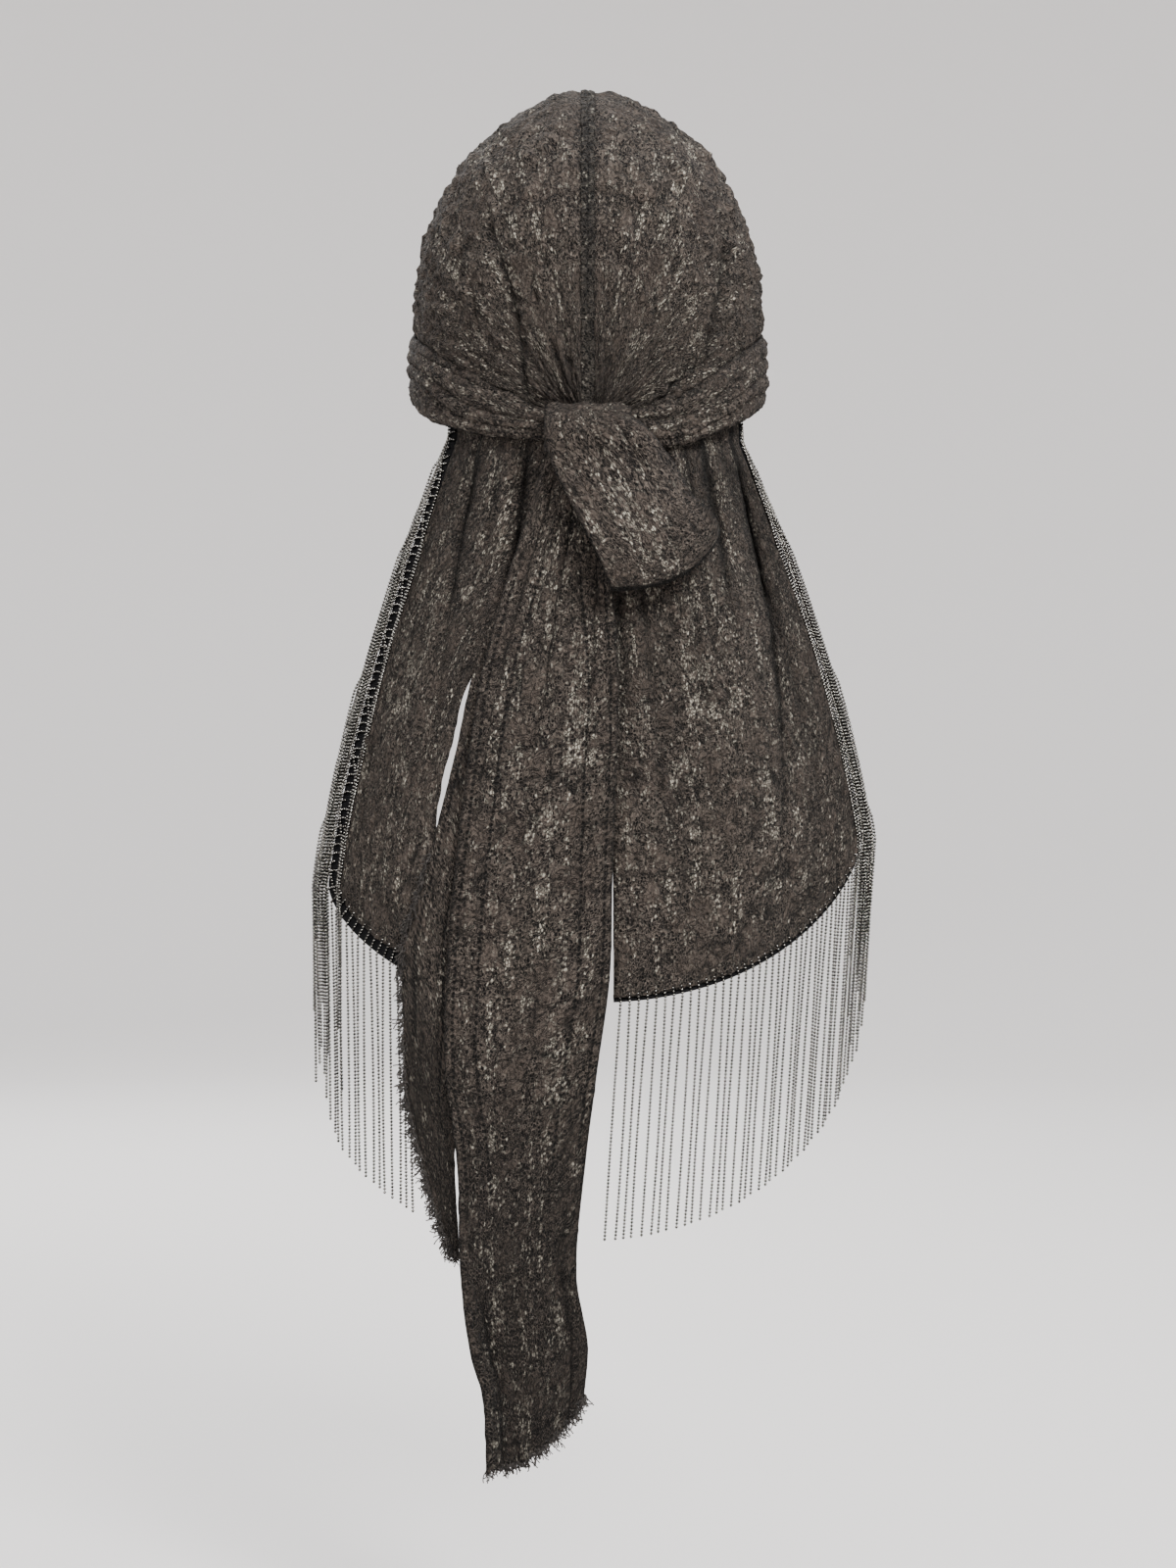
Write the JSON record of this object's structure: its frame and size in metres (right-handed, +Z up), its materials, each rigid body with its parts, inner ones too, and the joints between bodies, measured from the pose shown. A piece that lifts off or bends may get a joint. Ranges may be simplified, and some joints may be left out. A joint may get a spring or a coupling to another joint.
{
  "type": "turban",
  "caption": "Durag-style turban of crinkled lace, tied at the nape in a knot with one drooping loop and two free ends, over a split neck cape with a bead-chain fringe.",
  "frame": {"origin": "middle of the head opening, at brow height, on the plane where the crown sits on the head", "axes": "+Z up, +Y the way that the wearer faces, +X the wearer's right; the knot at the nape faces -Y"},
  "size_m": [0.278, 0.2219, 0.6709],
  "materials": {
    "lace": "crinkled see-through lace in dark taupe, raised leaf motifs on an open net",
    "seam_lace": "the same lace doubled and pressed flat in a seam",
    "black_tape": "matt black ribbed cotton tape",
    "silver_chain": "bright silver ball chain"
  },
  "bodies": {
    "root": {"crown_left": "lace", "crown_right": "lace", "crown_seam": "seam_lace", "band_left": "lace", "band_right": "lace", "knot": "lace", "bow_loop": "lace", "tail_long": "lace", "tail_short": "lace", "cape_left": "lace", "cape_right": "lace", "tape_left": "black_tape", "tape_right": "black_tape", "fringe_left": "silver_chain", "fringe_right": "silver_chain"}
  },
  "joints": []
}
